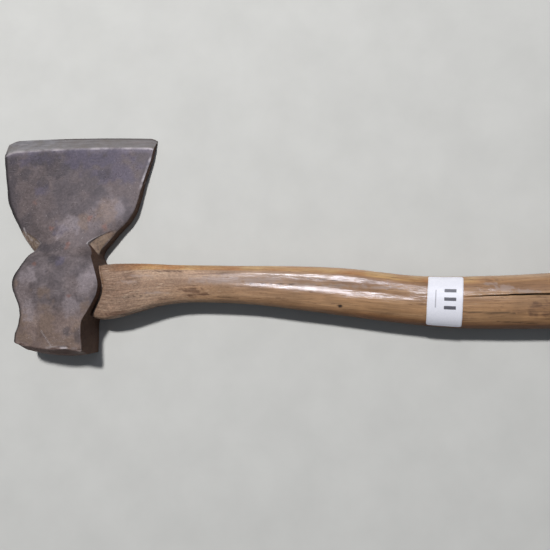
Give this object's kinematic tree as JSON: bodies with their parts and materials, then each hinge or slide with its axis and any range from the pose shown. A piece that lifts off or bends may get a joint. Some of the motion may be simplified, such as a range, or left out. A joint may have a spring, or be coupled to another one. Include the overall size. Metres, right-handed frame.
{
  "type": "broad axe",
  "caption": "Antique single-bevel broad axe: forged head with pointed lugs and a wide flared blade, laid steel edge, curved wooden haft wedged in the eye, blank paper label.",
  "frame": {"origin": "the middle of the eye's lugs, on the flat back of the head", "axes": "+X along the haft from the eye to the grip end, +Y from the eye to the cutting edge, +Z out of the bevelled face"},
  "size_m": [0.6357, 0.2169, 0.041],
  "materials": {
    "forged_iron": "dark grey-purple patina, worn and pitted",
    "edge_steel": "ground bevel, dulled",
    "haft_wood": "aged ash, worn smooth with a hand polish",
    "wedge_wood": "dry end grain, sawn off",
    "wedge_steel": "hammered flush, browned",
    "paper": "satin white sticker"
  },
  "bodies": {
    "root": {"head_body": "forged_iron", "steel_bit": "edge_steel", "haft": "haft_wood", "wooden_wedge": "wedge_wood", "steel_wedge_1": "wedge_steel", "steel_wedge_2": "wedge_steel", "paper_label": "paper"}
  },
  "joints": []
}
